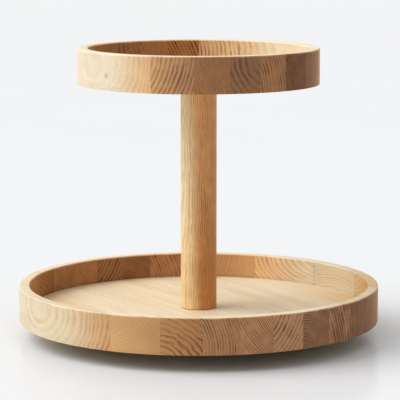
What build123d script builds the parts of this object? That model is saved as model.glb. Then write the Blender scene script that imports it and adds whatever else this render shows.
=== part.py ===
"""Two-tier wooden lazy susan, in millimetres, +Z up.

Two trays, each turned from a slab of edge-glued boards, are bolted to one post. The lower tray turns
on a pressed-steel ball race that is screwed to a round base on four rubber feet. The origin is on the
table under the middle of the base, and every piece is modelled where it sits in the finished object.
"""

import os
from math import cos, radians, sin, tan

from build123d import *

# Trays
lower_tray_diameter = 381.0
upper_tray_diameter = 254.0
tray_height = 37.5
tray_spacing = 250.0  # underside of the lower tray to underside of the upper one
rim_wall = 11.0
tray_floor = 10.7
rim_outer_radius = 1.5
rim_inner_chamfer = 1.0
bottom_edge_radius = 1.0
floor_corner_radius = 2.5

# Slabs of equal boards, which run square to the seam direction
seam_direction = 31.0  # degrees from +X towards +Y
lower_board_count = 12
lower_slab_spare = 23.4  # width of the slab beyond the tray's diameter
lower_slab_offset = 6.5  # from the middle of the tray to the middle of its slab
upper_board_count = 8
upper_slab_spare = 4.4
upper_slab_offset = -4.5

# Post and its fastenings
post_diameter = 38.0
post_end_chamfer = 0.8
thread_diameter = 8.0
thread_play = 0.1  # between any thread and what it turns in, on the radius
insert_diameter = 12.0
insert_play = 0.1  # between an insert and its hole, on the radius
post_insert_length = 20.0
tray_insert_length = 8.0
bolt_engagement = 16.0  # of the bolt and of the stud in the inserts of the post
stud_tray_engagement = 7.0
bolt_hole_play = 0.5
bolt_head_diameter = 14.0
bolt_head_height = 4.4
bolt_head_radius = 2.6
bolt_socket_width = 5.0  # across the flats
bolt_socket_depth = 2.8
washer_diameter = 24.0
washer_thickness = 1.6
washer_play = 0.5
washer_recess = 3.6

# Ball-race turntable
race_diameter = 110.0
ball_diameter = 5.0
ball_count = 24
ball_play = 0.05  # between a ball and either groove
plate_sheet = 1.2
inside_bend = 0.5
groove_angle = 50.0  # how far each groove wraps a ball, either side of its pole
groove_straight = 0.05  # straight of the groove's wall before its crest
crest_width = 3.0
shoulder_angle = 45.0
race_relief = 0.4  # from the back of a groove to the wood behind it
flange_width = 9.5
lower_plate_inner_flat = 6.0
neck_gap = 0.5  # from the captive neck to the edge that it passes
lip_gap = 0.4  # from the captive lip to the plate over it
lip_overlap = 2.0
cage_width = 8.0
cage_thickness = 0.8
pocket_play = 0.15

# Wood screws of the turntable
screw_count = 4
screw_start_angle = 45.0
screw_diameter = 3.5
screw_play = 0.05
screw_point = 3.0
screw_head_diameter = 6.8
screw_head_height = 2.2
screw_head_edge = 0.8  # straight side of the head under its dome
screw_hole_play = 0.35
screw_bite = 6.0  # in the wood
driver_hole_diameter = 14.0
driver_hole_margin = 2.8
plate_driver_hole_diameter = 9.0

# Base and feet
base_thickness = 7.0
base_border = 16.0  # wood outside the driver hole
base_edge_radius = 1.5
base_middle_hole_diameter = 30.0
foot_count = 4
foot_start_angle = 45.0
foot_height = 2.2
foot_diameter = 16.0
foot_edge_radius = 0.8
foot_inset = 13.0  # from the edge of the base to the middle of a foot
foot_stem_diameter = 6.0
foot_stem_length = 4.5
foot_stem_play = 0.1

# Heights, from the table up
base_underside = foot_height
base_top = base_underside + base_thickness
race_half_height = ball_diameter / 2 + ball_play + plate_sheet + race_relief
ball_level = base_top + race_half_height
lower_underside = ball_level + race_half_height
lower_floor = lower_underside + tray_floor
upper_underside = lower_underside + tray_spacing
post_length = upper_underside - lower_floor

# Section of the two race plates, along the middle of their sheet
race_radius = race_diameter / 2
bend_radius = inside_bend + plate_sheet / 2
groove_radius = ball_diameter / 2 + ball_play + plate_sheet / 2
groove_wall = bend_radius * tan(radians(groove_angle / 2)) + groove_straight
flange_drop = race_half_height - plate_sheet / 2
crest_drop = groove_radius * cos(radians(groove_angle)) - groove_wall * sin(radians(groove_angle))
groove_corner_drop = groove_radius / cos(radians(groove_angle))
crest_offset = (groove_corner_drop - crest_drop) / tan(radians(groove_angle))
outer_crest_radius = race_radius + crest_offset + crest_width
shoulder_foot_radius = outer_crest_radius + (flange_drop - crest_drop) / tan(radians(shoulder_angle))
inner_crest_radius = race_radius - crest_offset
lower_plate_edge_radius = inner_crest_radius - lower_plate_inner_flat
neck_radius = lower_plate_edge_radius - neck_gap - plate_sheet / 2
lip_drop = crest_drop + plate_sheet + lip_gap
lower_plate_radius = shoulder_foot_radius + flange_width

# Circles on which screws, driver hole and feet lie
base_screw_circle = shoulder_foot_radius + flange_width / 2
tray_screw_circle = lower_plate_radius + driver_hole_margin + driver_hole_diameter / 2
upper_plate_radius = tray_screw_circle + flange_width / 2
base_radius = tray_screw_circle + driver_hole_diameter / 2 + base_border
foot_circle = base_radius - foot_inset

insert_hole_radius = insert_diameter / 2 + insert_play
pilot_radius = screw_diameter / 2 + screw_play

os.makedirs("parts", exist_ok=True)


def facing_down(height):
    """Level plane whose holes are drilled upwards."""
    return Plane(origin=(0, 0, height), x_dir=(1, 0, 0), z_dir=(0, 0, -1))


def keep(piece, name):
    """Label a finished piece and write it as its own file."""
    piece.label = name
    export_step(piece, f"parts/{name}.step")


def turned_tray(diameter, underside):
    """A tray hollowed from one slab: flat floor, straight rim and eased edges."""
    radius = diameter / 2
    with BuildPart() as tray:
        with BuildSketch(Plane.XZ) as section:
            with BuildLine():
                Polyline(
                    (0, underside),
                    (radius, underside),
                    (radius, underside + tray_height),
                    (radius - rim_wall, underside + tray_height),
                    (radius - rim_wall, underside + tray_floor),
                    (0, underside + tray_floor),
                    close=True,
                )
            make_face()
            levels = section.vertices().group_by(Axis.Y)
            inner_corner, outer_corner = levels[-1].sort_by(Axis.X)
            chamfer(inner_corner, rim_inner_chamfer)
            fillet(outer_corner, rim_outer_radius)
            fillet(levels[1].sort_by(Axis.X)[-1], floor_corner_radius)
            fillet(levels[0].sort_by(Axis.X)[-1], bottom_edge_radius)
        revolve(axis=Axis.Z)
    return tray.part


def seam_places(slab_width, board_count, slab_offset):
    """Distances from the tray's middle to each glue seam of its slab."""
    board_width = slab_width / board_count
    return [slab_offset + board_width * (seam - board_count / 2) for seam in range(1, board_count)]


def seam_plane(place):
    """Upright plane of one glue seam."""
    across = Vector(cos(radians(seam_direction)), sin(radians(seam_direction)), 0)
    return Plane(origin=across * place, z_dir=across)


def write_boards(slab, seams, prefix):
    """Part a turned tray along its seams, from the -X side to the +X side."""
    lower_bounds = [None] + seams
    upper_bounds = seams + [None]
    for number, (start, end) in enumerate(zip(lower_bounds, upper_bounds), start=1):
        with BuildPart() as board:
            add(slab)
            if start is not None:
                split(bisect_by=seam_plane(start), keep=Keep.TOP)
            if end is not None:
                split(bisect_by=seam_plane(end), keep=Keep.BOTTOM)
        keep(board.part, f"{prefix}_{number:02d}")


def threaded_insert(length, mouth_plane):
    """Plain-walled insert, bored right through, that reaches back from the plane of its mouth."""
    with BuildPart() as insert:
        with BuildSketch(mouth_plane):
            Circle(insert_diameter / 2)
            Circle(thread_diameter / 2 + thread_play, mode=Mode.SUBTRACT)
        extrude(amount=-length)
    return insert.part


def wood_screw(length):
    """Pan-head screw that points down, with the seat of its head on the XY plane."""
    radius = screw_diameter / 2
    head_radius = screw_head_diameter / 2
    with BuildPart() as screw:
        with BuildSketch(Plane.XZ):
            with BuildLine():
                Polyline(
                    (0, screw_head_height),
                    (0, -length),
                    (radius, screw_point - length),
                    (radius, 0),
                    (head_radius, 0),
                    (head_radius, screw_head_edge),
                )
                dome_rise = screw_head_height - screw_head_edge
                dome_radius = (head_radius**2 + dome_rise**2) / (2 * dome_rise)
                RadiusArc((head_radius, screw_head_edge), (0, screw_head_height), -dome_radius)
            make_face()
        revolve(axis=Axis.Z)
    return screw.part


def pressed_plate(points):
    """Ring of pressed sheet, revolved from the middle line of its section."""
    corners = points[1:-1]
    radii = [groove_radius if radius == race_radius else bend_radius for radius, _ in corners]
    with BuildPart() as plate:
        with BuildSketch(Plane.XZ):
            with BuildLine():
                FilletPolyline(*points, radius=radii)
            trace(line_width=plate_sheet)
        revolve(axis=Axis.Z)
    return plate.part


# Lower tray, drilled from below for the post's bolt and the screws of the race
with BuildPart() as lower_slab:
    add(turned_tray(lower_tray_diameter, lower_underside))
    with Locations(facing_down(lower_underside)):
        CounterBoreHole(
            radius=thread_diameter / 2 + bolt_hole_play,
            counter_bore_radius=washer_diameter / 2 + washer_play,
            counter_bore_depth=washer_recess,
        )
        with PolarLocations(tray_screw_circle, screw_count, screw_start_angle):
            Hole(pilot_radius, depth=screw_bite)
write_boards(
    lower_slab.part,
    seam_places(lower_tray_diameter + lower_slab_spare, lower_board_count, lower_slab_offset),
    "lower_board",
)

# Upper tray, drilled from below for its insert
with BuildPart() as upper_slab:
    add(turned_tray(upper_tray_diameter, upper_underside))
    with Locations(facing_down(upper_underside)):
        Hole(insert_hole_radius, depth=tray_insert_length)
write_boards(
    upper_slab.part,
    seam_places(upper_tray_diameter + upper_slab_spare, upper_board_count, upper_slab_offset),
    "upper_board",
)

# Post between the two floors, bored at both ends
with BuildPart() as post:
    with BuildSketch(Plane.XY.offset(lower_floor)):
        Circle(post_diameter / 2)
    extrude(amount=post_length)
    chamfer(post.edges().filter_by(GeomType.CIRCLE), post_end_chamfer)
    with Locations(facing_down(lower_floor), Plane.XY.offset(upper_underside)):
        Hole(insert_hole_radius, depth=post_insert_length)
keep(post.part, "post")

keep(threaded_insert(post_insert_length, facing_down(lower_floor)), "post_foot_insert")
keep(threaded_insert(post_insert_length, Plane.XY.offset(upper_underside)), "post_head_insert")
keep(threaded_insert(tray_insert_length, facing_down(upper_underside)), "upper_tray_insert")

# Washer and button-head bolt under the lower tray
washer_seat = lower_underside + washer_recess
bolt_seat = washer_seat - washer_thickness
with BuildPart() as bolt_washer:
    with BuildSketch(Plane.XY.offset(bolt_seat)):
        Circle(washer_diameter / 2)
        Circle(thread_diameter / 2 + bolt_hole_play, mode=Mode.SUBTRACT)
    extrude(amount=washer_thickness)
keep(bolt_washer.part, "bolt_washer")

with BuildPart() as post_bolt:
    with BuildSketch(Plane.XY.offset(bolt_seat)):
        Circle(bolt_head_diameter / 2)
    extrude(amount=-bolt_head_height)
    fillet(post_bolt.edges().sort_by(Axis.Z)[0], bolt_head_radius)
    with BuildSketch(Plane.XY.offset(bolt_seat)):
        Circle(thread_diameter / 2)
    extrude(amount=lower_floor + bolt_engagement - bolt_seat)
    with BuildSketch(facing_down(bolt_seat - bolt_head_height)):
        RegularPolygon(bolt_socket_width / 2, 6, major_radius=False)
    extrude(amount=-bolt_socket_depth, mode=Mode.SUBTRACT)
keep(post_bolt.part, "post_bolt")

# Stud across the joint between post and upper tray
with BuildPart() as joining_stud:
    with BuildSketch(Plane.XY.offset(upper_underside - bolt_engagement)):
        Circle(thread_diameter / 2)
    extrude(amount=bolt_engagement + stud_tray_engagement)
keep(joining_stud.part, "joining_stud")

# Upper race plate: its neck passes inside the lower plate and its lip turns out beneath it
with BuildPart() as upper_race_plate:
    add(
        pressed_plate(
            [
                (upper_plate_radius, ball_level + flange_drop),
                (shoulder_foot_radius, ball_level + flange_drop),
                (outer_crest_radius, ball_level + crest_drop),
                (race_radius + crest_offset, ball_level + crest_drop),
                (race_radius, ball_level + groove_corner_drop),
                (inner_crest_radius, ball_level + crest_drop),
                (neck_radius, ball_level + crest_drop),
                (neck_radius, ball_level - lip_drop),
                (lower_plate_edge_radius + lip_overlap, ball_level - lip_drop),
            ]
        )
    )
    with Locations(Plane.XY.offset(lower_underside)):
        with PolarLocations(tray_screw_circle, screw_count, screw_start_angle):
            Hole(screw_diameter / 2 + screw_hole_play, depth=2 * plate_sheet)
        with PolarLocations(base_screw_circle, 1):
            Hole(plate_driver_hole_diameter / 2, depth=2 * plate_sheet)
keep(upper_race_plate.part, "upper_race_plate")

# Lower race plate
with BuildPart() as lower_race_plate:
    add(
        pressed_plate(
            [
                (lower_plate_radius, ball_level - flange_drop),
                (shoulder_foot_radius, ball_level - flange_drop),
                (outer_crest_radius, ball_level - crest_drop),
                (race_radius + crest_offset, ball_level - crest_drop),
                (race_radius, ball_level - groove_corner_drop),
                (inner_crest_radius, ball_level - crest_drop),
                (lower_plate_edge_radius, ball_level - crest_drop),
            ]
        )
    )
    with Locations(facing_down(base_top)):
        with PolarLocations(base_screw_circle, screw_count, screw_start_angle):
            Hole(screw_diameter / 2 + screw_hole_play, depth=2 * plate_sheet)
keep(lower_race_plate.part, "lower_race_plate")

# Balls and the flat cage that spaces them
with BuildPart() as bearing_balls:
    with Locations(Plane.XY.offset(ball_level)):
        with PolarLocations(race_radius, ball_count):
            Sphere(ball_diameter / 2)
keep(bearing_balls.part, "bearing_balls")

with BuildPart() as ball_cage:
    with BuildSketch(Plane.XY.offset(ball_level)):
        Circle(race_radius + cage_width / 2)
        Circle(race_radius - cage_width / 2, mode=Mode.SUBTRACT)
        with PolarLocations(race_radius, ball_count):
            Circle(ball_diameter / 2 + pocket_play, mode=Mode.SUBTRACT)
    extrude(amount=cage_thickness / 2, both=True)
keep(ball_cage.part, "ball_cage")

# Screws of the two plates
race_screw = wood_screw(plate_sheet + screw_bite)
with BuildPart() as tray_screws:
    with Locations(facing_down(lower_underside - plate_sheet)):
        with PolarLocations(tray_screw_circle, screw_count, screw_start_angle):
            add(race_screw)
keep(tray_screws.part, "tray_screws")

with BuildPart() as base_screws:
    with Locations(Plane.XY.offset(base_top + plate_sheet)):
        with PolarLocations(base_screw_circle, screw_count, screw_start_angle):
            add(race_screw)
keep(base_screws.part, "base_screws")

# Base disc with its driver holes, pilot holes and sockets for the feet
with BuildPart() as base_disc:
    with BuildSketch(Plane.XY.offset(base_underside)):
        Circle(base_radius)
    extrude(amount=base_thickness)
    fillet(base_disc.edges().filter_by(GeomType.CIRCLE), base_edge_radius)
    with Locations(Plane.XY.offset(base_top)):
        Hole(base_middle_hole_diameter / 2, depth=base_thickness)
        with PolarLocations(tray_screw_circle, 1):
            Hole(driver_hole_diameter / 2, depth=base_thickness)
        with PolarLocations(base_screw_circle, screw_count, screw_start_angle):
            Hole(pilot_radius, depth=screw_bite)
    with Locations(facing_down(base_underside)):
        with PolarLocations(foot_circle, foot_count, foot_start_angle):
            Hole(foot_stem_diameter / 2 + foot_stem_play, depth=foot_stem_length)
keep(base_disc.part, "base_disc")

# Rubber feet, each pushed into the base by its stem
for number in range(1, foot_count + 1):
    foot_angle = radians(foot_start_angle + 360 / foot_count * (number - 1))
    foot_middle = (foot_circle * cos(foot_angle), foot_circle * sin(foot_angle))
    with BuildPart() as rubber_foot:
        with BuildSketch(Plane.XY):
            with Locations(foot_middle):
                Circle(foot_diameter / 2)
        extrude(amount=foot_height)
        fillet(rubber_foot.edges().sort_by(Axis.Z)[0], foot_edge_radius)
        with BuildSketch(Plane.XY.offset(base_underside)):
            with Locations(foot_middle):
                Circle(foot_stem_diameter / 2)
        extrude(amount=foot_stem_length)
    keep(rubber_foot.part, f"rubber_foot_{number}")
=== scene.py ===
"""Finishes, light and camera for the two-tier wooden lazy susan.

Places are in metres, as in the frame. Sizes within a finish, such as the width of a ring,
are in millimetres.
"""

import math
from typing import NamedTuple

import bmesh
import bpy
from bpy.props import FloatProperty, FloatVectorProperty, PointerProperty
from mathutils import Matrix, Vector


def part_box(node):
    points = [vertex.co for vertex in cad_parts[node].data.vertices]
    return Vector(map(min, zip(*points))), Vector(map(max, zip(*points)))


bl_info = {
    "name": "Lazy Susan Finishes",
    "version": (1, 0, 0),
    "blender": (4, 5, 0),
    "location": "View3D > Sidebar > Lazy Susan",
    "description": "Wood, metal, nylon and rubber finishes of a two-tier lazy susan, with its stage",
    "category": "Material",
}

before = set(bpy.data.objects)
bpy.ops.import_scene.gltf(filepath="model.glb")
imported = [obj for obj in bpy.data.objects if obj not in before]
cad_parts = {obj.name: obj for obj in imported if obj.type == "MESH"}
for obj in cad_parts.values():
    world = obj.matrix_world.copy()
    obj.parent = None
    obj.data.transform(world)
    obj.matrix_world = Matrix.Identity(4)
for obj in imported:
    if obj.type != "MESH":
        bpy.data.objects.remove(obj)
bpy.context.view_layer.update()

MM = 1000.0  # millimetres in a metre

# Trays: their boards run from front to back, turned to the left by this angle
BOARD_TURN = math.radians(31.0)
ACROSS = Vector((math.cos(BOARD_TURN), math.sin(BOARD_TURN), 0.0))
ALONG = Vector((-math.sin(BOARD_TURN), math.cos(BOARD_TURN), 0.0))
RIM_WALL = 11.0  # thickness
TRAY_FLOOR = 10.7  # thickness
SLAB_MARGIN = 0.5  # a board that ends this near to the slab's outside has no glue there
LOG_STEP = 170.0  # along the grain, so that no two boards share their noise
SLANT_SHARE = 0.5  # power that takes an end's tone to that of a slanting cut
SIDE_SHARE = 0.4  # of the redness of a board's ends, which its sides show
BOARD_STREAKS = 0.20

# Post: tone and redness at the foot and at the head, and the heights between which they change;
# the foot's darker, redder colour is painted warm bounce light from the tray's floor
POST_FOOT_BOUNCE = (0.94, 1.0)
HEART_HEAD = (1.05, -1.2)
SAP_HEAD = (1.09, -0.45)
POST_FADE = (20.0, 220.0)
POST_SLANT_TONE = 0.85
POST_END_TONE = 0.7
POST_SQUEEZE = (1.0, 5.0, 1.0)  # makes the noise in the wood shorter along the post
SAP_NOISE = (0.05, 0.006, 0.05)
SAP_REACH = 8.0  # of the sapwood's wandering inner edge

# Surface of solid wood
WOOD_RELIEF = 0.25
WOOD_GLOSS = 0.4

# Green and blue that one step of redness takes out of a colour
GREEN_LOSS = 0.08
BLUE_LOSS = 0.22

# Colours of wear and stains
RUBBED_WOOD = (0.80, 0.66, 0.46, 1.0)
GLUE_FILM = (0.26, 0.13, 0.05, 1.0)
KNOT_STAIN = (0.16, 0.10, 0.06, 1.0)
OILED_STEEL = (0.58, 0.55, 0.48, 1.0)
DUSTY_RUBBER = (0.12, 0.115, 0.11, 1.0)

# Plywood of the base
PLY_COUNT = 5
PLY_STREAKS = (0.025, 0.55, 0.55)
PLY_FIGURE = (0.004, 0.035, 0.035)
PLY_FIGURE_LINES = 14.0  # that the figure's noise is cut into
PLY_PORES = (1.3, 1.3, 3.0)

# Hardware: scales of its textures
ZINC_CRYSTALS = 0.7
BRASS_TURNING = 5.0
NYLON_FLOW = (0.12, 0.12, 0.5)
RUBBER_PITS = (2.2, 2.2, 2.2)
RUBBER_DUST = (0.3, 0.3, 0.3)

# Stage: distances in metres, and the camera's sensor in millimetres
FLOOR_REACH = 20.0
FLOOR_SMEARS = (3.0, 3.0, 3.0)
KEY_DISTANCE = 3.0
SENSOR_WIDTH = 36.0
VIEW_LIMIT = 100.0


class Grain(NamedTuple):
    """How one board was cut from its log, and how its rings, ends and sides look."""

    heart_across: float  # place of the log's heart
    heart_height: float
    spacing: float
    waviness: float
    contrast: float
    near_tone: float
    near_redness: float
    far_tone: float
    far_redness: float
    line_share: float = 0.4  # of a ring's width
    far_contrast: float = 1.0  # share of the contrast that is left at the far end
    side_tone: float = 1.0  # of the faces along the grain
    side_redness: float = 0.0  # added to these faces at the near end


LOWER_GRAIN = (
    Grain(-291.4, 48, 2.4, 0.4, 1.00, 0.78, 1.6, 1.40, -3.0, side_tone=0.90),
    Grain(-215, 100, 3.2, 0.8, 0.12, 0.86, 0.5, 0.60, 2.4),
    Grain(-138, 6, 5.0, 3.2, 0.78, 0.88, 1.1, 0.62, 2.6, line_share=0.38, far_contrast=0.6),
    Grain(-178, 16, 2.6, 1.0, 0.85, 0.92, 0.1, 0.88, 0.7),
    Grain(21, 82, 1.9, 0.6, 1.20, 1.12, -0.3, 1.00, 1.0, far_contrast=0.6),
    Grain(-77, 79, 4.2, 0.8, 0.75, 1.12, -0.9, 0.77, 1.3, line_share=0.5),
    Grain(2, 0, 2.0, 0.5, 1.30, 0.74, 0.2, 0.72, 1.3, far_contrast=0.6),
    Grain(-96, -10, 3.6, 0.5, 1.60, 1.07, 0.2, 1.12, 0.5, line_share=0.65, far_contrast=0.4),
    Grain(-100, 36, 2.4, 0.7, 1.10, 0.70, 1.4, 0.90, 0.5),
    Grain(20, 70, 2.8, 0.8, 0.22, 0.55, 1.8, 1.08, 0.0),
    Grain(193, 58, 3.3, 0.8, 0.75, 1.05, 2.2, 1.64, -1.4, side_redness=1.0),
    Grain(235, -15, 2.2, 0.8, 1.25, 1.10, 0.8, 1.58, 0.8),
)
UPPER_GRAIN = (
    Grain(-330, 320, 3.0, 1.5, 0.30, 1.30, -1.0, 1.60, -3.0),
    Grain(-196, 313, 3.2, 0.7, 0.95, 0.90, 0.0, 0.72, 1.4, line_share=0.5),
    Grain(-150, 240, 2.4, 3.0, 0.40, 0.72, 1.0, 0.70, 1.6),
    Grain(16, 308, 6.0, 1.8, 0.55, 0.60, 0.6, 0.67, 1.5, line_share=0.5),
    Grain(-80, 265, 3.4, 0.9, 0.80, 0.82, 1.0, 0.78, 1.5, far_contrast=0.35),
    Grain(-59, 248, 3.4, 1.0, 1.00, 0.44, 3.0, 0.80, 2.2),
    Grain(-40, 286, 3.4, 0.6, 0.80, 0.57, 1.8, 1.34, -2.7),
    Grain(20, 290, 4.2, 0.8, 0.70, 1.00, -0.3, 1.28, -3.0),
)


class Knot(NamedTuple):
    """A pin knot on a board."""

    place: tuple
    radius: float


KNOTS = {
    "lower_board_01": Knot((-96.9, -164.0, 34.0), 0.8),
    "upper_board_01": Knot((-93.4, -86.0, 282.4), 1.9),
    "upper_board_02": Knot((-21.0, -125.3, 294.7), 1.5),
    "upper_board_03": Knot((29.0, -123.6, 269.3), 1.4),
}


class Tray(NamedTuple):
    """Sizes of a tray, which its wear and its painted corner shade follow."""

    outer_radius: float
    inner_radius: float
    floor: float
    top: float


class Graph:
    """A node tree that is filled by short calls; values are numbers, colours or sockets."""

    def __init__(self, tree):
        self.tree = tree

    def feed(self, socket, value):
        """Link an input to a socket, or set it to a plain value."""
        if isinstance(value, bpy.types.NodeSocket):
            self.tree.links.new(value, socket)
        else:
            socket.default_value = value

    def add(self, kind, settings=(), **values):
        """Place a node, set its options and feed the inputs that are named."""
        node = self.tree.nodes.new(kind)
        for name, setting in dict(settings).items():
            setattr(node, name, setting)
        for name, value in values.items():
            self.feed(node.inputs[name.replace("_", " ")], value)
        return node

    def apply(self, kind, settings, values):
        """Place a node, set its options and feed its first inputs in their order."""
        node = self.add(kind, settings)
        for socket, value in zip(node.inputs, values):
            self.feed(socket, value)
        return node.outputs

    def math(self, operation, *values):
        return self.apply("ShaderNodeMath", {"operation": operation}, values)["Value"]

    def product(self, first, *others):
        for other in others:
            first = self.math("MULTIPLY", first, other)
        return first

    def vector(self, operation, *values):
        outputs = self.apply("ShaderNodeVectorMath", {"operation": operation}, values)
        gives_number = operation in ("DOT_PRODUCT", "LENGTH", "DISTANCE")
        return outputs["Value" if gives_number else "Vector"]

    def span(self, value, low, high, start=0.0, end=1.0):
        """Ease a value from start to end while it goes from low to high."""
        eased = {"interpolation_type": "SMOOTHSTEP"}
        return self.apply("ShaderNodeMapRange", eased, (value, low, high, start, end))["Result"]

    def parts(self, vector):
        return self.add("ShaderNodeSeparateXYZ", Vector=vector).outputs

    def join(self, **parts):
        """Vector of the parts that are given; the others are zero."""
        return self.add("ShaderNodeCombineXYZ", **parts).outputs["Vector"]

    def coordinates(self):
        return self.add("ShaderNodeTexCoord").outputs

    def noise(self, vector, scale, detail=2.0, roughness=0.5):
        """Noise that is stretched by a scale for each axis."""
        stretched = self.vector("MULTIPLY", vector, scale)
        node = self.add(
            "ShaderNodeTexNoise", Vector=stretched, Scale=1.0, Detail=detail, Roughness=roughness
        )
        return node.outputs["Fac"]

    def swing(self, vector, scale, reach, detail=2.0):
        """Noise that swings about zero by about half its reach either way."""
        centred = self.math("SUBTRACT", self.noise(vector, scale, detail), 0.5)
        return self.product(centred, reach)

    def line_noise(self, value, scale):
        """Noise along a line."""
        line = {"noise_dimensions": "1D"}
        return self.add("ShaderNodeTexNoise", line, W=value, Scale=scale, Detail=1.0).outputs["Fac"]

    def chance(self, value):
        """One random level for each whole number."""
        line = {"noise_dimensions": "1D"}
        return self.add("ShaderNodeTexWhiteNoise", line, W=value).outputs["Value"]

    def mix(self, factor, first, second, mode="MIX"):
        """Blend of two colours."""
        node = self.add("ShaderNodeMix", {"data_type": "RGBA", "blend_type": mode})
        # The node has a set of sockets for each type of data, and these are the colours'
        factor_input, first_input, second_input = node.inputs[0], node.inputs[6], node.inputs[7]
        self.feed(factor_input, factor)
        self.feed(first_input, first)
        self.feed(second_input, second)
        return node.outputs[2]

    def darken(self, colour, level):
        """Colour times a level."""
        grey = self.add("ShaderNodeCombineColor", Red=level, Green=level, Blue=level)
        return self.mix(1.0, colour, grey.outputs["Color"], "MULTIPLY")

    def group(self, tree, **values):
        return self.add("ShaderNodeGroup", {"node_tree": tree}, **values).outputs


# Shader node groups, each made on its first use

SOCKETS = {"float": "NodeSocketFloat", "vector": "NodeSocketVector", "colour": "NodeSocketColor"}


def shared_group(name, inputs, outputs, fill):
    """Node group; fill draws it from its graph and inputs, and returns its outputs by name."""
    tree = bpy.data.node_groups.get(name)
    if tree is None:
        tree = bpy.data.node_groups.new(name, "ShaderNodeTree")
        for label, kind in inputs.items():
            tree.interface.new_socket(label, in_out="INPUT", socket_type=SOCKETS[kind])
        for label, kind in outputs.items():
            tree.interface.new_socket(label, in_out="OUTPUT", socket_type=SOCKETS[kind])
        graph = Graph(tree)
        made = fill(graph, graph.add("NodeGroupInput").outputs)
        end = graph.add("NodeGroupOutput")
        for label in outputs:
            graph.feed(end.inputs[label], made[label])
    return tree


# Noise in the wood: a scale for each axis, of which Y runs along the grain
RING_WANDER = (0.022, 0.004, 0.022)
RING_RIPPLE = (0.14, 0.008, 0.14)
RING_FADE = (0.075, 0.01, 0.075)
FIBRES = (0.8, 0.02, 0.8)
PORES = (2.4, 0.12, 2.4)
HAIRS = (1.2, 0.005, 1.2)
MOTTLE = (0.05, 0.008, 0.05)
RAYS = (1.0, 0.09, 0.05)  # around the heart, away from it and along the grain
RAYS_PER_RADIAN = 90.0


def fill_ring_wood(graph, given):
    """Rings are counted outwards from the heart; Y runs along the grain."""
    place = given["Heart Vector"]
    xyz = graph.parts(place)
    wander = graph.swing(place, RING_WANDER, 6.0)
    ripple = graph.swing(place, RING_RIPPLE, 1.8, detail=4.0)
    wander = graph.product(graph.math("ADD", wander, ripple), given["Waviness"])
    straight = graph.vector("LENGTH", graph.join(X=xyz["X"], Z=xyz["Z"]))
    distance = graph.math("ADD", straight, wander)
    year = graph.math("DIVIDE", distance, given["Ring Spacing"])
    year = graph.math("ADD", graph.line_noise(year, 0.3), year)
    season = graph.math("FRACT", year)
    line_start = graph.math("MULTIPLY_ADD", given["Line Share"], -1.6, 1.0)
    line_full = graph.math("MULTIPLY_ADD", given["Line Share"], -0.6, 1.0)
    rise = graph.span(season, line_start, line_full)
    drop = graph.span(season, 0.92, 1.0, 1.0, 0.15)
    weight = graph.span(graph.chance(graph.math("FLOOR", year)), 0.0, 1.0, 0.55, 1.0)
    fade = graph.span(graph.noise(place, RING_FADE, detail=3.0), 0.32, 0.68, 0.42, 1.55)
    depth = graph.product(rise, drop, graph.product(weight, fade), given["Contrast"])

    fibre = graph.noise(place, FIBRES, detail=4.0, roughness=0.65)
    pores = graph.span(graph.noise(place, PORES, detail=1.0), 0.56, 0.68)
    pores = graph.product(pores, graph.span(season, 0.1, 0.8, 0.15, 1.0))
    hairs = graph.span(graph.noise(place, HAIRS), 0.50, 0.64)
    mottle = graph.span(graph.noise(place, MOTTLE), 0.3, 0.7, 0.95, 1.05)
    bearing = graph.product(graph.math("ARCTAN2", xyz["Z"], xyz["X"]), RAYS_PER_RADIAN)
    polar = graph.join(X=bearing, Y=distance, Z=xyz["Y"])
    rays = graph.span(graph.noise(polar, RAYS), 0.52, 0.72)

    facing = graph.vector("DOT_PRODUCT", given["Normal"], given["Grain Axis"])
    facing = graph.math("ABSOLUTE", facing)
    slant = graph.span(facing, 0.20, 0.62)
    end = graph.span(facing, 0.58, 0.90)
    side_colour = graph.mix(graph.product(depth, 0.5), given["Side Pale"], given["Side Dark"])
    slant_colour = graph.mix(depth, given["Slant Pale"], given["Slant Dark"])
    end_colour = graph.mix(depth, given["End Pale"], given["End Dark"])
    colour = graph.mix(end, graph.mix(slant, side_colour, slant_colour), end_colour)

    streaks = graph.math("SUBTRACT", fibre, 0.5)
    streaks = graph.math("MULTIPLY_ADD", streaks, given["Streaks"], 1.0)
    streaks = graph.math("ADD", streaks, graph.product(hairs, given["Streaks"], -0.28))
    pore_shade = graph.math("MULTIPLY_ADD", pores, -0.20, 1.0)
    ray_shade = graph.math("ADD", graph.product(rays, end, 0.12), 0.98)
    shade = graph.product(streaks, mottle, pore_shade, ray_shade)

    roughness = graph.math("MULTIPLY_ADD", fibre, 0.16, 0.42)
    roughness = graph.math("MULTIPLY_ADD", end, 0.08, roughness)
    height = graph.math("MULTIPLY_ADD", pores, -0.6, graph.product(fibre, 0.5))
    height = graph.math("MULTIPLY_ADD", depth, -0.12, height)
    return {"Color": graph.darken(colour, shade), "Roughness": roughness, "Height": height}


def ring_wood_group():
    """Growth rings, fibres, rays and pores of solid wood, with colours for each way it is cut."""
    inputs = {
        "Heart Vector": "vector",
        "Normal": "vector",
        "Grain Axis": "vector",
        "Ring Spacing": "float",
        "Line Share": "float",
        "Waviness": "float",
        "Contrast": "float",
        "Streaks": "float",
        "Side Pale": "colour",
        "Side Dark": "colour",
        "Slant Pale": "colour",
        "Slant Dark": "colour",
        "End Pale": "colour",
        "End Dark": "colour",
    }
    outputs = {"Color": "colour", "Roughness": "float", "Height": "float"}
    return shared_group("Ring Wood", inputs, outputs, fill_ring_wood)


# Patches of noise for the rubbed rim edges and for the painted corner shade
WEAR_AND_SHADE_PATCHES = (0.05, 0.05, 0.05)


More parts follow.
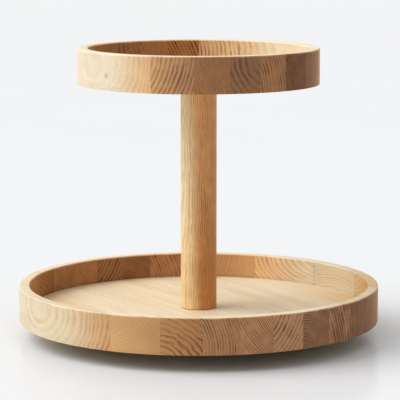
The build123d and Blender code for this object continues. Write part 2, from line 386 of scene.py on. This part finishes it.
def fill_tray_wear_and_shade(graph, given):
    """Hands rub the rim's edges; painted shade darkens the floor in patches where it meets the wall.
    """
    place = given["Vector"]
    xyz = graph.parts(place)
    radius = graph.vector("LENGTH", graph.join(X=xyz["X"], Y=xyz["Y"]))
    wear_and_shade_patches = graph.span(graph.noise(place, WEAR_AND_SHADE_PATCHES, detail=3.0), 0.35, 0.65)
    below_top = graph.math("SUBTRACT", given["Rim Top"], xyz["Z"])
    near_top = graph.span(below_top, 0.3, 2.2, 1.0, 0.0)
    from_middle = graph.math("ABSOLUTE", graph.math("SUBTRACT", radius, given["Rim Middle"]))
    near_edge = graph.span(from_middle, 3.6, 5.2)
    rub = graph.product(near_top, near_edge, wear_and_shade_patches)

    # Painted shade: the floor is darkened in patches where it meets the wall
    above_floor = graph.math("ABSOLUTE", graph.math("SUBTRACT", xyz["Z"], given["Floor"]))
    near_floor = graph.span(above_floor, 0.4, 4.0, 1.0, 0.0)
    inside = graph.math("SUBTRACT", given["Rim Middle"], radius)
    near_wall = graph.product(graph.span(inside, 9.5, 5.5), graph.span(inside, 4.9, 5.3))
    painted_corner_shade = graph.product(near_wall, near_floor, graph.span(wear_and_shade_patches, 0.0, 1.0, 0.5, 1.0))
    colour = graph.mix(graph.product(rub, 0.35), given["Color"], RUBBED_WOOD)
    colour = graph.darken(colour, graph.math("MULTIPLY_ADD", painted_corner_shade, -0.12, 1.0))
    roughness = graph.math("MULTIPLY_ADD", rub, -0.12, given["Roughness"])
    return {"Color": colour, "Roughness": roughness}


def tray_wear_and_shade_group():
    """Wear of a turned tray, with painted shade in the corner between its floor and wall."""
    inputs = {
        "Vector": "vector",
        "Color": "colour",
        "Roughness": "float",
        "Rim Middle": "float",
        "Rim Top": "float",
        "Floor": "float",
    }
    outputs = {"Color": "colour", "Roughness": "float"}
    return shared_group("Tray Wear and Corner Shade", inputs, outputs, fill_tray_wear_and_shade)


GLUE_GAPS = (0.4, 0.4, 0.4)


def fill_glue_line(graph, given):
    """The film is darker than the wood, and ragged along its length."""
    across = graph.vector("DOT_PRODUCT", given["Vector"], ACROSS)
    from_low = graph.math("SUBTRACT", across, given["Low Edge"])
    from_high = graph.math("SUBTRACT", given["High Edge"], across)
    film = graph.span(graph.math("MINIMUM", from_low, from_high), 0.05, 0.45, 1.0, 0.0)
    ragged = graph.span(graph.noise(given["Vector"], GLUE_GAPS), 0.3, 0.6, 0.4, 1.0)
    return {"Color": graph.mix(graph.product(film, ragged, 0.24), given["Color"], GLUE_FILM)}


def glue_line_group():
    """Film of glue at both edges of a board."""
    inputs = {"Vector": "vector", "Color": "colour", "Low Edge": "float", "High Edge": "float"}
    return shared_group("Glue Line", inputs, {"Color": "colour"}, fill_glue_line)


KNOT_EDGE = (0.9, 0.9, 0.9)


def fill_pin_knot(graph, given):
    """A dark core in a paler ring, both with a ragged edge."""
    ragged = graph.swing(given["Vector"], KNOT_EDGE, 0.9)
    distance = graph.vector("DISTANCE", given["Vector"], given["Place"])
    away = graph.math("ADD", graph.math("DIVIDE", distance, given["Radius"]), ragged)
    core = graph.span(away, 0.35, 1.0, 0.62, 0.0)
    ring = graph.span(away, 0.8, 2.4, 0.22, 0.0)
    return {"Color": graph.mix(graph.math("MAXIMUM", core, ring), given["Color"], KNOT_STAIN)}


def pin_knot_group():
    """One pin knot, laid over the wood."""
    inputs = {"Vector": "vector", "Color": "colour", "Place": "vector", "Radius": "float"}
    return shared_group("Pin Knot", inputs, {"Color": "colour"}, fill_pin_knot)


SCRATCHES_ALONG_X = (0.25, 4.0, 2.6)
SCRATCHES_ALONG_Y = (3.6, 0.3, 2.9)
HANDLING_CLOUDS = (0.35, 0.35, 0.35)


def fill_scuffs(graph, given):
    """Hair scratches that cross, and cloudy handling marks."""
    place = given["Vector"]
    first = graph.span(graph.noise(place, SCRATCHES_ALONG_X, detail=1.0), 0.60, 0.66)
    second = graph.span(graph.noise(place, SCRATCHES_ALONG_Y, detail=1.0), 0.61, 0.67)
    cloud = graph.noise(place, HANDLING_CLOUDS, detail=4.0, roughness=0.6)
    return {"Scratch": graph.math("MAXIMUM", first, second), "Cloud": cloud}


def scuffs_group():
    """Marks of use on metal and nylon."""
    outputs = {"Scratch": "float", "Cloud": "float"}
    return shared_group("Scuffs", {"Vector": "vector"}, outputs, fill_scuffs)


# Materials

def plain_colour(colour, tone=1.0):
    """Colour of a setting, with its tone, as a socket takes it."""
    return (colour[0] * tone, colour[1] * tone, colour[2] * tone, 1.0)


def stained(colour, tone, redness):
    """Colour of a setting with a board's own tone and redness."""
    green = colour[1] * (1.0 - GREEN_LOSS * redness)
    blue = colour[2] * (1.0 - BLUE_LOSS * redness)
    return plain_colour((colour[0], green, blue), tone)


def new_material(name):
    """Empty material, and the graph of its nodes."""
    material = bpy.data.materials.new(name)
    material.use_nodes = True
    material.node_tree.nodes.clear()
    return material, Graph(material.node_tree)


def close_surface(graph, height=None, bump=0.0, depth=0.0003, **values):
    """Principled surface with a bump from the height, joined to the material's output."""
    surface = graph.add("ShaderNodeBsdfPrincipled", **values)
    if height is not None:
        relief = graph.add("ShaderNodeBump", Strength=bump, Distance=depth, Height=height)
        graph.feed(surface.inputs["Normal"], relief.outputs["Normal"])
    end = graph.add("ShaderNodeOutputMaterial")
    graph.feed(end.inputs["Surface"], surface.outputs["BSDF"])


def close_wood(graph, colour, roughness, height):
    """Surface of oiled solid wood."""
    close_surface(
        graph,
        height=height,
        bump=WOOD_RELIEF,
        Base_Color=colour,
        Roughness=roughness,
        Specular_IOR_Level=WOOD_GLOSS,
    )


def millimetres(graph, where, location=(0.0, 0.0, 0.0), rotation=(0.0, 0.0, 0.0)):
    """Object coordinates in millimetres, turned and then shifted."""
    node = graph.add(
        "ShaderNodeMapping",
        Vector=where["Object"],
        Location=location,
        Rotation=rotation,
        Scale=(MM, MM, MM),
    )
    return node.outputs["Vector"]


def scuffed_material(name):
    """Empty material, its graph, the place on it in millimetres and its marks of use."""
    material, graph = new_material(name)
    place = millimetres(graph, graph.coordinates())
    return material, graph, place, graph.group(scuffs_group(), Vector=place)


def dress(node_name, material):
    """Give a node of the frame its finish."""
    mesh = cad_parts[node_name].data
    mesh.materials.clear()
    mesh.materials.append(material)


def board_edges(node_name, tray):
    """Where the board's two glued edges lie across the slab; the slab's outside holds no glue."""
    reach = [vertex.co.dot(ACROSS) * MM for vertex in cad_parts[node_name].data.vertices]
    low = min(reach)
    high = max(reach)
    outside = tray.outer_radius - SLAB_MARGIN
    if low <= -outside:
        low = -2 * outside
    if high >= outside:
        high = 2 * outside
    return low, high


def board_material(name, number, grain, tray, wood):
    """Wood of one board, which runs along the slab's length."""
    material, graph = new_material(f"{name}_wood")
    where = graph.coordinates()
    heart_place = (-grain.heart_across, LOG_STEP * number, -grain.heart_height)
    place = millimetres(graph, where)
    blend = tray.outer_radius / 3
    far = graph.span(graph.vector("DOT_PRODUCT", place, ALONG), -blend, blend)

    def ends(colour, share):
        """Colour of the board's near end, turning into that of its far end."""
        near_colour = stained(colour, grain.near_tone ** share, grain.near_redness)
        far_colour = stained(colour, grain.far_tone ** share, grain.far_redness)
        return graph.mix(far, near_colour, far_colour)

    def sides(colour):
        """Colour along the board, which takes up some of the redness of its ends."""
        near_redness = SIDE_SHARE * max(grain.near_redness, 0.0) + grain.side_redness
        far_redness = SIDE_SHARE * max(grain.far_redness, 0.0)
        near_colour = stained(colour, grain.side_tone, near_redness)
        far_colour = stained(colour, grain.side_tone, far_redness)
        return graph.mix(far, near_colour, far_colour)

    rings = graph.group(
        ring_wood_group(),
        Heart_Vector=millimetres(graph, where, heart_place, (0.0, 0.0, -BOARD_TURN)),
        Normal=where["Normal"],
        Grain_Axis=ALONG,
        Ring_Spacing=grain.spacing,
        Line_Share=grain.line_share,
        Waviness=grain.waviness,
        Contrast=graph.span(far, 0.0, 1.0, grain.contrast, grain.contrast * grain.far_contrast),
        Streaks=BOARD_STREAKS,
        Side_Pale=sides(wood.side_pale),
        Side_Dark=sides(wood.side_dark),
        Slant_Pale=ends(wood.slant_pale, SLANT_SHARE),
        Slant_Dark=ends(wood.slant_dark, SLANT_SHARE),
        End_Pale=ends(wood.end_pale, 1.0),
        End_Dark=ends(wood.end_dark, 1.0),
    )
    low_edge, high_edge = board_edges(name, tray)
    colour = graph.group(
        glue_line_group(), Vector=place, Color=rings["Color"], Low_Edge=low_edge, High_Edge=high_edge
    )["Color"]
    if name in KNOTS:
        knot = KNOTS[name]
        colour = graph.group(
            pin_knot_group(), Vector=place, Color=colour, Place=knot.place, Radius=knot.radius
        )["Color"]
    wear_and_shade = graph.group(
        tray_wear_and_shade_group(),
        Vector=place,
        Color=colour,
        Roughness=rings["Roughness"],
        Rim_Middle=(tray.outer_radius + tray.inner_radius) / 2,
        Rim_Top=tray.top,
        Floor=tray.floor,
    )
    close_wood(graph, wear_and_shade["Color"], wear_and_shade["Roughness"], rings["Height"])
    return material


def post_material(wood):
    """Upright grain whose heart lies beyond the right side; pale sapwood is left on the other,
    narrowing towards the head as painted shadow of the upper tray.
    """
    material, graph = new_material("post_wood")
    where = graph.coordinates()
    heart_place = (-wood.heart_x * MM, 0.0, wood.heart_y * MM)
    from_heart = millimetres(graph, where, heart_place, (-math.pi / 2, 0.0, wood.lean))
    # Painted shadow: the sapwood's own lean narrows the pale wood towards the head, where the upper
    # tray shades the post
    from_core = millimetres(graph, where, heart_place, (-math.pi / 2, 0.0, wood.sap_shadow_lean))
    outwards = graph.vector("LENGTH", graph.vector("MULTIPLY", from_core, (1.0, 0.0, 1.0)))
    outwards = graph.math("ADD", outwards, graph.swing(from_heart, SAP_NOISE, SAP_REACH))
    sap = graph.span(outwards, wood.sap_start * MM, (wood.sap_start + wood.sap_blend) * MM)
    up = graph.span(graph.parts(from_heart)["Y"], *POST_FADE)

    def rising(colour, head):
        """Colour that is darker and redder at the post's foot than at its head; the foot's tint is
        painted warm bounce light from the tray's floor.
        """
        return graph.mix(up, stained(colour, *POST_FOOT_BOUNCE), stained(colour, *head))

    rings = graph.group(
        ring_wood_group(),
        Heart_Vector=graph.vector("MULTIPLY", from_heart, POST_SQUEEZE),
        Normal=where["Normal"],
        Grain_Axis=(0.0, 0.0, 1.0),
        Ring_Spacing=wood.ring_spacing * MM,
        Line_Share=wood.line_share,
        Waviness=wood.waviness,
        Contrast=wood.contrast,
        Streaks=wood.streaks,
        Side_Pale=graph.mix(sap, rising(wood.pale, HEART_HEAD), rising(wood.sap_pale, SAP_HEAD)),
        Side_Dark=graph.mix(sap, rising(wood.dark, HEART_HEAD), rising(wood.sap_dark, SAP_HEAD)),
        Slant_Pale=plain_colour(wood.pale, POST_SLANT_TONE),
        Slant_Dark=plain_colour(wood.dark, POST_SLANT_TONE),
        End_Pale=plain_colour(wood.pale, POST_END_TONE),
        End_Dark=plain_colour(wood.dark, POST_END_TONE),
    )
    close_wood(graph, rings["Color"], rings["Roughness"], rings["Height"])
    return material


def plywood_material(wood, low, high):
    """Round of plywood: straight face grain, and plies that take turns at the edge."""
    material, graph = new_material("base_plywood")
    where = graph.coordinates()
    place = millimetres(graph, where)
    height = graph.parts(place)["Z"]
    upright = graph.math("ABSOLUTE", graph.parts(where["Normal"])["Z"])
    face = graph.span(upright, 0.5, 0.9)
    ply = graph.math("DIVIDE", graph.math("SUBTRACT", height, low), (high - low) / PLY_COUNT)
    turn = graph.math("MODULO", graph.math("FLOOR", ply), 2.0)
    glue = graph.span(graph.math("PINGPONG", ply, 0.5), 0.02, 0.07, 0.55, 1.0)
    streak = graph.noise(place, PLY_STREAKS, detail=4.0, roughness=0.6)
    figure = graph.product(graph.noise(place, PLY_FIGURE), PLY_FIGURE_LINES)
    pores = graph.span(graph.noise(place, PLY_PORES), 0.5, 0.7)
    lines = graph.math("PINGPONG", figure, 1.0)
    face_mark = graph.math("MULTIPLY_ADD", lines, 0.5, graph.product(streak, 0.5))
    face_colour = graph.mix(face_mark, plain_colour(wood.face_pale), plain_colour(wood.face_dark))
    edge_colour = graph.mix(turn, plain_colour(wood.edge_along), plain_colour(wood.edge_across))
    edge_colour = graph.darken(edge_colour, graph.math("MULTIPLY_ADD", pores, -0.25, 1.05))
    edge_colour = graph.darken(edge_colour, glue)
    close_surface(
        graph,
        height=graph.math("MULTIPLY_ADD", pores, -0.5, streak),
        bump=0.3,
        Base_Color=graph.mix(face, edge_colour, face_colour),
        Roughness=graph.span(streak, 0.3, 0.7, 0.50, 0.66),
        Specular_IOR_Level=0.35,
    )
    return material


def zinc_material(name, colour):
    """Bright zinc plating, dulled in clouds and scratched."""
    material, graph, place, marks = scuffed_material(name)
    crystals = graph.add("ShaderNodeTexVoronoi", Vector=place, Scale=ZINC_CRYSTALS).outputs["Color"]
    crystals = graph.math("MULTIPLY_ADD", graph.parts(crystals)["X"], 0.10, 0.92)
    dull = graph.span(marks["Cloud"], 0.45, 0.75)
    plating = graph.mix(dull, plain_colour(colour), plain_colour(colour, 0.78))
    roughness = graph.span(marks["Cloud"], 0.3, 0.7, 0.26, 0.46)
    close_surface(
        graph,
        height=graph.math("MULTIPLY_ADD", marks["Scratch"], -0.5, crystals),
        bump=0.12,
        depth=0.0001,
        Base_Color=graph.darken(plating, crystals),
        Roughness=graph.math("MULTIPLY_ADD", marks["Scratch"], 0.14, roughness),
        Metallic=1.0,
    )
    return material


def ball_material(colour):
    """Polished balls with a film of oil and faint scratches from rolling."""
    material, graph, _, marks = scuffed_material("ball_steel")
    oil = graph.span(marks["Cloud"], 0.45, 0.7)
    roughness = graph.math("MULTIPLY_ADD", oil, 0.10, 0.06)
    close_surface(
        graph,
        height=marks["Scratch"],
        bump=0.05,
        depth=0.00005,
        Base_Color=graph.mix(oil, plain_colour(colour), OILED_STEEL),
        Roughness=graph.math("MULTIPLY_ADD", marks["Scratch"], 0.12, roughness),
        Metallic=1.0,
    )
    return material


def brass_material(colour):
    """Brass turned on a lathe: fine rings up its length, browned in places."""
    material, graph, place, marks = scuffed_material("insert_brass")
    turning = graph.line_noise(graph.parts(place)["Z"], BRASS_TURNING)
    browned = graph.span(marks["Cloud"], 0.45, 0.8)
    close_surface(
        graph,
        height=turning,
        bump=0.2,
        depth=0.0001,
        Base_Color=graph.mix(browned, plain_colour(colour), plain_colour(colour, 0.62)),
        Roughness=graph.span(turning, 0.25, 0.75, 0.22, 0.42),
        Metallic=1.0,
    )
    return material


def nylon_material(colour):
    """Natural nylon with the cloudy flow of its moulding."""
    material, graph, place, marks = scuffed_material("cage_nylon")
    flow = graph.span(graph.noise(place, NYLON_FLOW, detail=4.0), 0.3, 0.7)
    milky = graph.mix(flow, plain_colour(colour), plain_colour(colour, 0.88))
    close_surface(
        graph,
        height=graph.math("MULTIPLY_ADD", marks["Scratch"], -0.4, marks["Cloud"]),
        bump=0.1,
        depth=0.0001,
        Base_Color=graph.darken(milky, graph.math("MULTIPLY_ADD", marks["Scratch"], -0.06, 1.0)),
        Roughness=graph.span(marks["Cloud"], 0.3, 0.7, 0.36, 0.52),
        Subsurface_Weight=0.12,
        Subsurface_Radius=(0.002, 0.002, 0.0016),
    )
    return material


def rubber_material(colour):
    """Moulded rubber, fine-pitted, with a sole that the table has worn grey."""
    material, graph = new_material("foot_rubber")
    place = millimetres(graph, graph.coordinates())
    pits = graph.noise(place, RUBBER_PITS, detail=3.0, roughness=0.6)
    dust = graph.span(graph.noise(place, RUBBER_DUST, detail=4.0), 0.4, 0.75)
    sole = graph.span(graph.parts(place)["Z"], 0.05, 0.5, 0.55, 0.0)
    grey = graph.math("MAXIMUM", sole, graph.product(dust, 0.35))
    close_surface(
        graph,
        height=pits,
        bump=0.3,
        depth=0.0002,
        Base_Color=graph.mix(grey, plain_colour(colour), DUSTY_RUBBER),
        Roughness=graph.span(pits, 0.3, 0.7, 0.68, 0.88),
        Specular_IOR_Level=0.35,
    )
    return material


# Settings

def colour_setting(name, description, default):
    return FloatVectorProperty(
        name=name, description=description, default=default, subtype="COLOR", size=3, min=0.0, max=1.0
    )


def angle_setting(name, description, degrees):
    default = math.radians(degrees)
    return FloatProperty(name=name, description=description, default=default, subtype="ANGLE")


def level_setting(name, description, default):
    return FloatProperty(
        name=name, description=description, default=default, subtype="FACTOR", min=0.0, soft_max=4.0
    )


def length_setting(name, description, size):
    """Length, which is given here in millimetres."""
    return FloatProperty(
        name=name, description=description, default=size / MM, unit="LENGTH", precision=4
    )


class BoardWoodSettings(bpy.types.PropertyGroup):
    """Colours of the boards of both trays."""

    side_pale: colour_setting("Side, pale", "Spring wood along the grain", (0.755, 0.645, 0.465))
    side_dark: colour_setting("Side, dark", "Ring lines along the grain", (0.64, 0.42, 0.195))
    slant_pale: colour_setting("Slant, pale", "Spring wood cut at a slant", (0.70, 0.40, 0.165))
    slant_dark: colour_setting("Slant, dark", "Ring lines cut at a slant", (0.46, 0.20, 0.07))
    end_pale: colour_setting("End, pale", "Spring wood where the grain ends", (0.52, 0.25, 0.105))
    end_dark: colour_setting("End, dark", "Ring lines where the grain ends", (0.17, 0.062, 0.023))


class PostWoodSettings(bpy.types.PropertyGroup):
    """Colours and rings of the post, and where its log's heart and sapwood lie."""

    pale: colour_setting("Pale", "Wood between the ring lines", (0.755, 0.345, 0.11))
    dark: colour_setting("Dark", "Ring lines", (0.415, 0.157, 0.048))
    sap_pale: colour_setting("Sapwood, pale", "Outermost wood, between its lines", (0.89, 0.70, 0.415))
    sap_dark: colour_setting("Sapwood, dark", "Ring lines of the outermost wood", (0.70, 0.42, 0.18))
    ring_spacing: length_setting("Ring spacing", "Width of one ring", 2.0)
    line_share: level_setting("Line share", "Share of a ring that its line takes", 0.5)
    waviness: level_setting("Waviness", "How far the rings wander", 1.1)
    contrast: level_setting("Contrast", "Strength of the ring lines", 1.15)
    streaks: level_setting("Streaks", "Strength of the fibres", 0.60)
    lean: angle_setting("Lean", "How far the grain leans from the post's axis", 1.2)
    # Painted shadow: this lean narrows the pale sapwood towards the head, where the upper tray shades
    # the post
    sap_shadow_lean: angle_setting("Sapwood lean", "How far the sapwood's inner edge leans", -1.9)
    heart_x: length_setting("Heart across", "Log's heart, right of the post's foot", 54.7)
    heart_y: length_setting("Heart back", "Log's heart, behind the post's middle", 14.0)
    sap_start: length_setting("Sapwood start", "Distance from the heart to the pale wood", 57.2)
    sap_blend: length_setting("Sapwood blend", "Width over which the wood turns pale", 12.0)


class BaseWoodSettings(bpy.types.PropertyGroup):
    """Colours of the plywood base."""

    face_pale: colour_setting("Face, pale", "Face veneer between its lines", (0.64, 0.47, 0.29))
    face_dark: colour_setting("Face, dark", "Lines of the face veneer", (0.48, 0.32, 0.18))
    edge_along: colour_setting("Edge, along", "Plies that run with the edge", (0.60, 0.43, 0.26))
    edge_across: colour_setting("Edge, across", "Plies that show their end grain", (0.36, 0.23, 0.12))


class HardwareSettings(bpy.types.PropertyGroup):
    """Colours of the ball race, the fastenings and the feet."""

    race: colour_setting("Race", "Zinc on the pressed plates", (0.66, 0.67, 0.68))
    fastener: colour_setting("Fastenings", "Zinc on bolt, stud, washer and screws", (0.62, 0.62, 0.61))
    balls: colour_setting("Balls", "Polished steel", (0.78, 0.78, 0.79))
    brass: colour_setting("Inserts", "Turned brass", (0.78, 0.58, 0.28))
    nylon: colour_setting("Cage", "Natural nylon", (0.82, 0.80, 0.74))
    rubber: colour_setting("Feet", "Moulded rubber", (0.026, 0.026, 0.028))


class StageSettings(bpy.types.PropertyGroup):
    """Floor, light and camera."""

    floor_colour: colour_setting("Floor", "Colour of the table top", (0.68, 0.69, 0.702))
    backdrop_level: level_setting("Backdrop", "Brightness that is seen", 0.82)
    sky_level: level_setting("Fill", "Light from the horizon", 0.05)
    overhead_level: level_setting("Overhead", "Light that is added towards the top", 0.95)
    left_level: level_setting("Left", "Light that is added towards the left", 0.43)
    key_strength: level_setting("Key", "Strength of the key light", 2.66)
    key_azimuth: angle_setting("Key azimuth", "From the left towards the viewer", 0.0)
    key_elevation: angle_setting("Key height", "Above the horizon", 45.0)
    key_spread: angle_setting("Key softness", "Angle that the light fills", 52.0)
    camera_place: FloatVectorProperty(
        name="Camera",
        description="Where the viewer stands",
        default=(0.0014, -2.1655, 0.4616),
        unit="LENGTH",
    )
    camera_pitch: angle_setting("Pitch", "How far the camera looks down", 8.359)
    lens: FloatProperty(name="Lens", description="Focal length", default=186.0, unit="CAMERA")


# Stage

def lay_floor(scene, stage):
    """Plain satin table top, whose gloss is a little uneven."""
    mesh = bpy.data.meshes.new("table_top")
    shape = bmesh.new()
    bmesh.ops.create_grid(shape, x_segments=1, y_segments=1, size=FLOOR_REACH)
    shape.to_mesh(mesh)
    shape.free()
    floor = bpy.data.objects.new("table_top", mesh)
    scene.collection.objects.link(floor)
    material, graph = new_material("table_top_satin")
    smear = graph.noise(graph.coordinates()["Object"], FLOOR_SMEARS, detail=3.0)
    close_surface(
        graph,
        Base_Color=plain_colour(stage.floor_colour),
        Roughness=graph.span(smear, 0.3, 0.7, 0.16, 0.24),
        Specular_IOR_Level=0.10,
    )
    mesh.materials.append(material)


def light_world(scene, stage):
    """Soft fill that grows towards the top and the left; what is seen is the pale backdrop."""
    world = bpy.data.worlds.new("studio")
    world.use_nodes = True
    world.node_tree.nodes.clear()
    scene.world = world
    graph = Graph(world.node_tree)
    path = graph.add("ShaderNodeLightPath").outputs
    seen = graph.math("MAXIMUM", path["Is Camera Ray"], path["Is Glossy Ray"])
    seen = graph.math("MAXIMUM", seen, path["Is Transmission Ray"])
    way = graph.parts(graph.coordinates()["Generated"])
    above = graph.math("MAXIMUM", way["Z"], 0.0)
    left = graph.math("MAXIMUM", graph.product(way["X"], -1.0), 0.0)
    fill = graph.math("MULTIPLY_ADD", above, stage.overhead_level, stage.sky_level)
    fill = graph.math("MULTIPLY_ADD", left, stage.left_level, fill)
    level = graph.span(seen, 0.0, 1.0, fill, stage.backdrop_level)
    sky = graph.add("ShaderNodeBackground", Color=(1.0, 1.0, 1.0, 1.0), Strength=level)
    end = graph.add("ShaderNodeOutputWorld")
    graph.feed(end.inputs["Surface"], sky.outputs["Background"])


def hang_key(scene, stage):
    """Broad, soft key light."""
    light = bpy.data.lights.new("key", "SUN")
    light.energy = stage.key_strength
    light.angle = stage.key_spread
    key = bpy.data.objects.new("key", light)
    scene.collection.objects.link(key)
    level = math.cos(stage.key_elevation)
    left = level * math.cos(stage.key_azimuth)
    front = level * math.sin(stage.key_azimuth)
    towards = Vector((-left, -front, math.sin(stage.key_elevation)))
    key.location = towards * KEY_DISTANCE
    key.rotation_euler = towards.to_track_quat("Z", "Y").to_euler()


def place_camera(scene, stage):
    """Camera that looks towards the back and a little down."""
    lens = bpy.data.cameras.new("camera")
    lens.lens = stage.lens
    lens.sensor_width = SENSOR_WIDTH
    lens.clip_end = VIEW_LIMIT
    camera = bpy.data.objects.new("camera", lens)
    camera.location = stage.camera_place
    camera.rotation_euler = (math.pi / 2 - stage.camera_pitch, 0.0, 0.0)
    scene.collection.objects.link(camera)
    scene.camera = camera


# Operators

def nodes_named(prefix):
    """Names of the frame's nodes that start with the prefix, in order."""
    return sorted(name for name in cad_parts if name.startswith(prefix))


def tray_of(boards):
    """Sizes of the tray that these boards make up."""
    boxes = [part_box(name) for name in boards]
    outer_radius = max(high[0] for low, high in boxes) * MM
    underside = min(low[2] for low, high in boxes) * MM
    top = max(high[2] for low, high in boxes) * MM
    return Tray(outer_radius, outer_radius - RIM_WALL, underside + TRAY_FLOOR, top)


class SUSAN_OT_finish_trays(bpy.types.Operator):
    """Give every board of the two trays its own cut of wood"""

    bl_idname = "lazy_susan.finish_trays"
    bl_label = "Finish Trays"

    def execute(self, context):
        wood = context.scene.susan_boards
        for prefix, grains in (("lower_board", LOWER_GRAIN), ("upper_board", UPPER_GRAIN)):
            boards = nodes_named(prefix)
            tray = tray_of(boards)
            for number, (name, grain) in enumerate(zip(boards, grains, strict=True), start=1):
                dress(name, board_material(name, number, grain, tray, wood))
        return {"FINISHED"}


class SUSAN_OT_finish_post(bpy.types.Operator):
    """Give the post its upright grain"""

    bl_idname = "lazy_susan.finish_post"
    bl_label = "Finish Post"

    def execute(self, context):
        dress("post", post_material(context.scene.susan_post))
        return {"FINISHED"}


class SUSAN_OT_finish_base(bpy.types.Operator):
    """Give the base disc its plies"""

    bl_idname = "lazy_susan.finish_base"
    bl_label = "Finish Base"

    def execute(self, context):
        low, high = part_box("base_disc")
        dress("base_disc", plywood_material(context.scene.susan_base, low[2] * MM, high[2] * MM))
        return {"FINISHED"}


class SUSAN_OT_finish_race(bpy.types.Operator):
    """Finish the plates, balls and cage of the ball race"""

    bl_idname = "lazy_susan.finish_race"
    bl_label = "Finish Ball Race"

    def execute(self, context):
        colours = context.scene.susan_hardware
        plating = zinc_material("race_zinc", colours.race)
        dress("upper_race_plate", plating)
        dress("lower_race_plate", plating)
        dress("bearing_balls", ball_material(colours.balls))
        dress("ball_cage", nylon_material(colours.nylon))
        return {"FINISHED"}


class SUSAN_OT_finish_fastenings(bpy.types.Operator):
    """Finish the bolt, stud, washer, screws and threaded inserts"""

    bl_idname = "lazy_susan.finish_fastenings"
    bl_label = "Finish Fastenings"

    def execute(self, context):
        colours = context.scene.susan_hardware
        plating = zinc_material("fastener_zinc", colours.fastener)
        for name in ("post_bolt", "bolt_washer", "joining_stud", "tray_screws", "base_screws"):
            dress(name, plating)
        brass = brass_material(colours.brass)
        for name in ("post_foot_insert", "post_head_insert", "upper_tray_insert"):
            dress(name, brass)
        return {"FINISHED"}


class SUSAN_OT_finish_feet(bpy.types.Operator):
    """Finish the rubber feet"""

    bl_idname = "lazy_susan.finish_feet"
    bl_label = "Finish Feet"

    def execute(self, context):
        rubber = rubber_material(context.scene.susan_hardware.rubber)
        for name in nodes_named("rubber_foot"):
            dress(name, rubber)
        return {"FINISHED"}


class SUSAN_OT_build_stage(bpy.types.Operator):
    """Lay the floor, set the light and place the camera"""

    bl_idname = "lazy_susan.build_stage"
    bl_label = "Build Stage"

    def execute(self, context):
        scene = context.scene
        stage = scene.susan_stage
        lay_floor(scene, stage)
        light_world(scene, stage)
        hang_key(scene, stage)
        place_camera(scene, stage)
        scene.view_settings.view_transform = "Standard"
        return {"FINISHED"}


STEPS = (
    SUSAN_OT_finish_trays,
    SUSAN_OT_finish_post,
    SUSAN_OT_finish_base,
    SUSAN_OT_finish_race,
    SUSAN_OT_finish_fastenings,
    SUSAN_OT_finish_feet,
    SUSAN_OT_build_stage,
)
SETTINGS = {
    "susan_boards": BoardWoodSettings,
    "susan_post": PostWoodSettings,
    "susan_base": BaseWoodSettings,
    "susan_hardware": HardwareSettings,
    "susan_stage": StageSettings,
}


class SUSAN_PT_finishes(bpy.types.Panel):
    """Lists the steps that dress the lazy susan"""

    bl_idname = "SUSAN_PT_finishes"
    bl_label = "Lazy Susan"
    bl_space_type = "VIEW_3D"
    bl_region_type = "UI"
    bl_category = "Lazy Susan"

    def draw(self, context):
        for step in STEPS:
            self.layout.operator(step.bl_idname)


def register():
    for group in SETTINGS.values():
        bpy.utils.register_class(group)
    for name, group in SETTINGS.items():
        setattr(bpy.types.Scene, name, PointerProperty(type=group))
    for step in STEPS:
        bpy.utils.register_class(step)
    bpy.utils.register_class(SUSAN_PT_finishes)


def unregister():
    bpy.utils.unregister_class(SUSAN_PT_finishes)
    for step in reversed(STEPS):
        bpy.utils.unregister_class(step)
    for name in SETTINGS:
        delattr(bpy.types.Scene, name)
    for group in reversed(SETTINGS.values()):
        bpy.utils.unregister_class(group)


def main():
    register()
    bpy.ops.lazy_susan.finish_trays()
    bpy.ops.lazy_susan.finish_post()
    bpy.ops.lazy_susan.finish_base()
    bpy.ops.lazy_susan.finish_race()
    bpy.ops.lazy_susan.finish_fastenings()
    bpy.ops.lazy_susan.finish_feet()
    bpy.ops.lazy_susan.build_stage()


if __name__ == "__main__":
    main()
